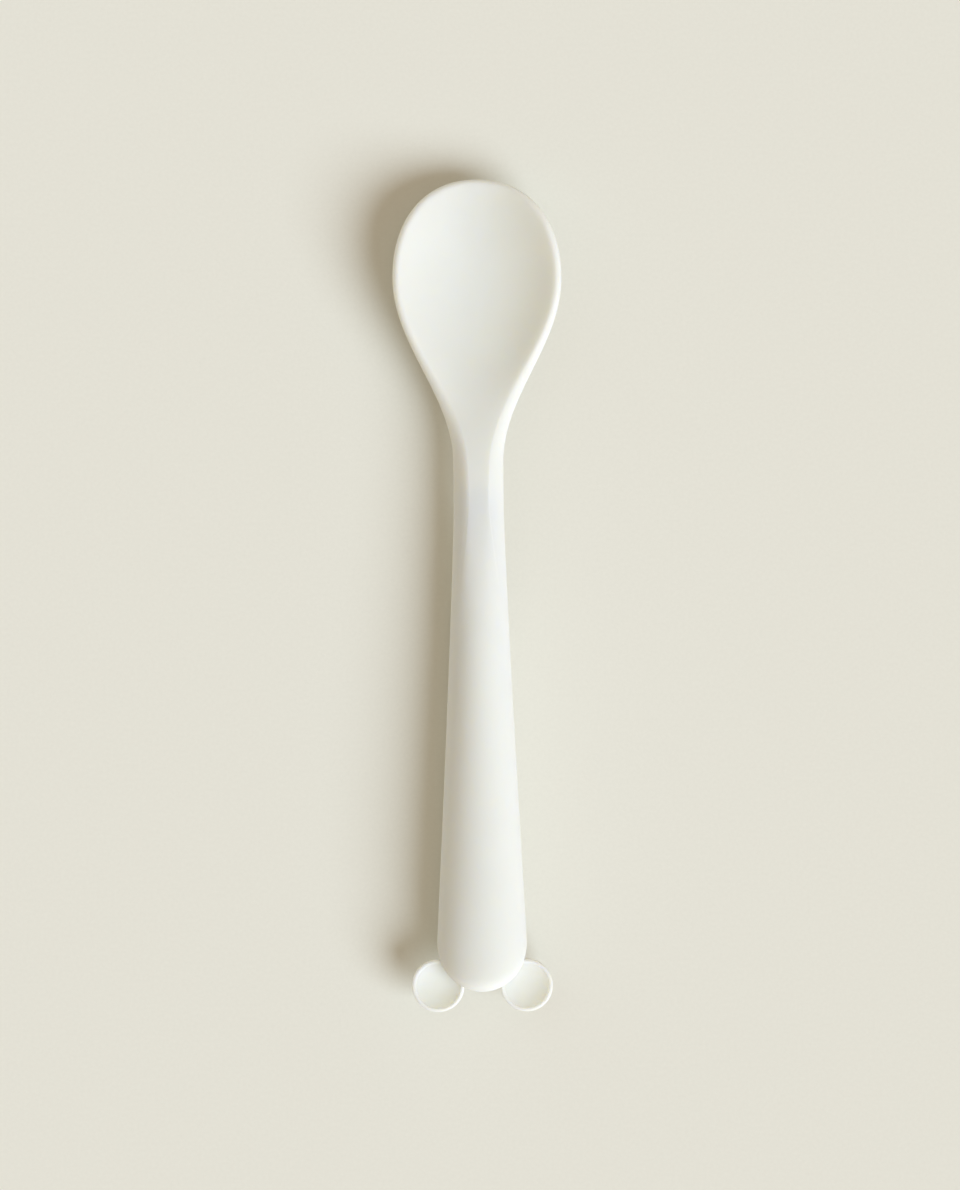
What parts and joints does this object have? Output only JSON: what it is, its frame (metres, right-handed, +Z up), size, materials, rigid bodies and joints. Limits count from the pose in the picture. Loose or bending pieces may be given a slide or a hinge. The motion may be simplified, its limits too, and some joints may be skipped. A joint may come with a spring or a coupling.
{
  "type": "silicone feeding spoon",
  "caption": "Soft silicone feeding spoon with a teardrop bowl, a slim neck and a swelling handle that ends in small dished ears, moulded over a stiff inner core.",
  "frame": {"origin": "on the table, under the centre of the spoon's bounding box", "axes": "+Y along the spoon towards the tip of the bowl, +Z up out of the hollow, +X to the right"},
  "size_m": [0.0284, 0.14, 0.013],
  "materials": {
    "silicone": "matt moulded silicone, milky off-white",
    "nylon": "matt moulded nylon, natural"
  },
  "bodies": {
    "root": {"silicone_body": "silicone", "stiffening_core": "nylon", "front_pin_plug": "silicone", "rear_pin_plug": "silicone"}
  },
  "joints": []
}
